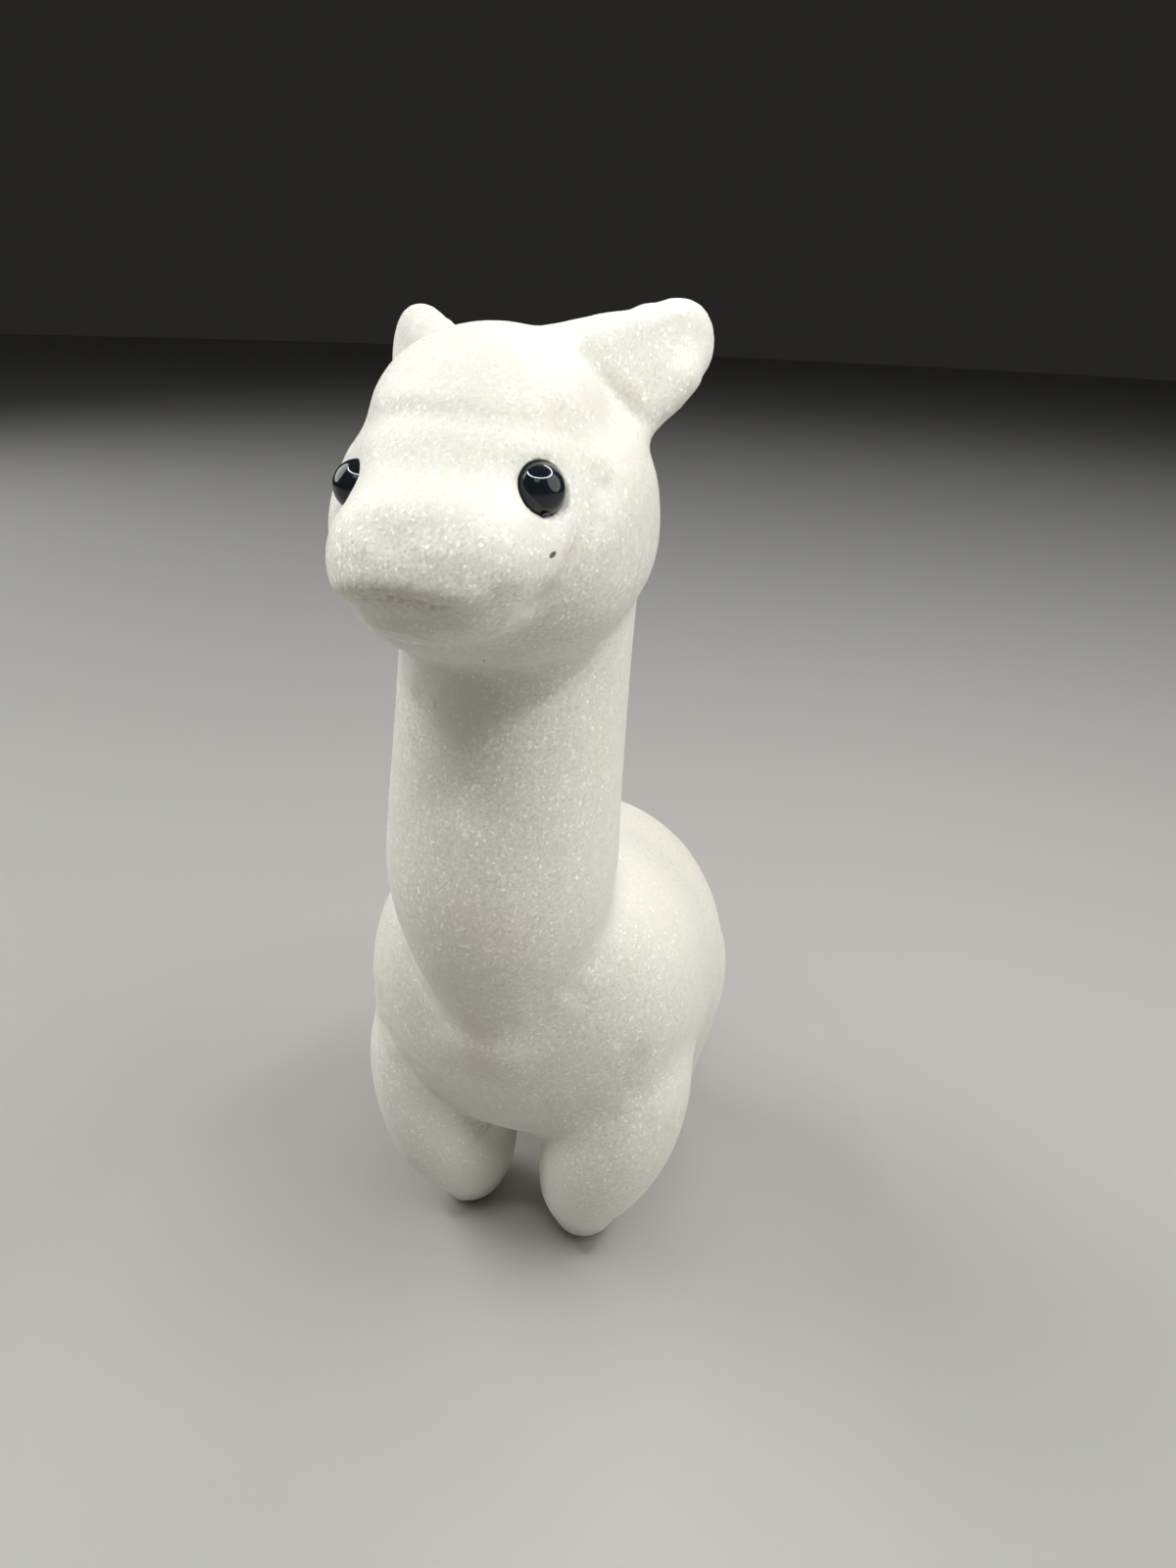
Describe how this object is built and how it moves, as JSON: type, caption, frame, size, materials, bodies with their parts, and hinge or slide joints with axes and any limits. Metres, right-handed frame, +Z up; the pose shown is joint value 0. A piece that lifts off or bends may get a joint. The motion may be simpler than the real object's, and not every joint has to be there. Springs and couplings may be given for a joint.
{
  "type": "carved stone llama figurine",
  "caption": "Small standing llama carved from one block of white stone, with a long neck, four stub legs and domed glass bead eyes.",
  "frame": {"origin": "on the ground under the middle of the figure's box", "axes": "+Z up; the llama faces -Y, and +X is its own left side"},
  "size_m": [0.0458, 0.0792, 0.1278],
  "materials": {
    "white_stone": "honed, with a sugary crystalline grain",
    "eye_glass": "polished opaque black"
  },
  "bodies": {
    "root": {"llama": "white_stone", "left_eye": "eye_glass", "right_eye": "eye_glass"}
  },
  "joints": []
}
